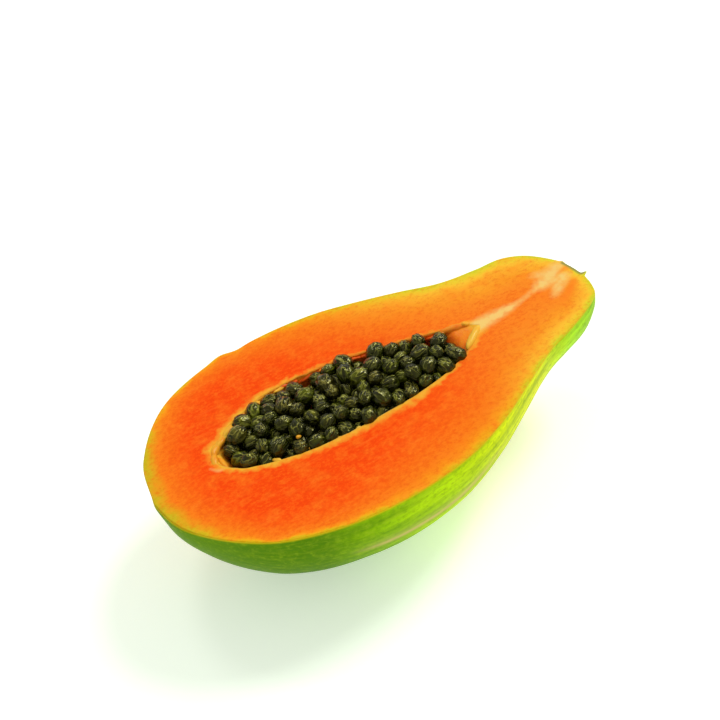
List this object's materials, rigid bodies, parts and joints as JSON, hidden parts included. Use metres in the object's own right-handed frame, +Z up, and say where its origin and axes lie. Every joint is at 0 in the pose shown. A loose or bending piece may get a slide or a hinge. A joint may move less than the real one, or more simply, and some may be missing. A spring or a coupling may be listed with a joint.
{
  "type": "halved papaya",
  "caption": "Pear-shaped fruit cut in half lengthwise, flat cut face up, with a long hollow heaped with small round seeds.",
  "frame": {"origin": "middle of the small flat spot under the belly that the half rests on", "axes": "+X from the blossom end to the stem end, +Y across the cut face, +Z up, square to the cut face"},
  "size_m": [0.18, 0.107, 0.0543],
  "materials": {
    "fruit": "moist orange-red cut flesh, yellow under a smooth satin skin that goes from green to yellow",
    "seeds": "wet, wrinkled, dark green-black seeds in clear jelly coats"
  },
  "bodies": {
    "root": {"papaya_half": "fruit", "seeds": "seeds"}
  },
  "joints": []
}
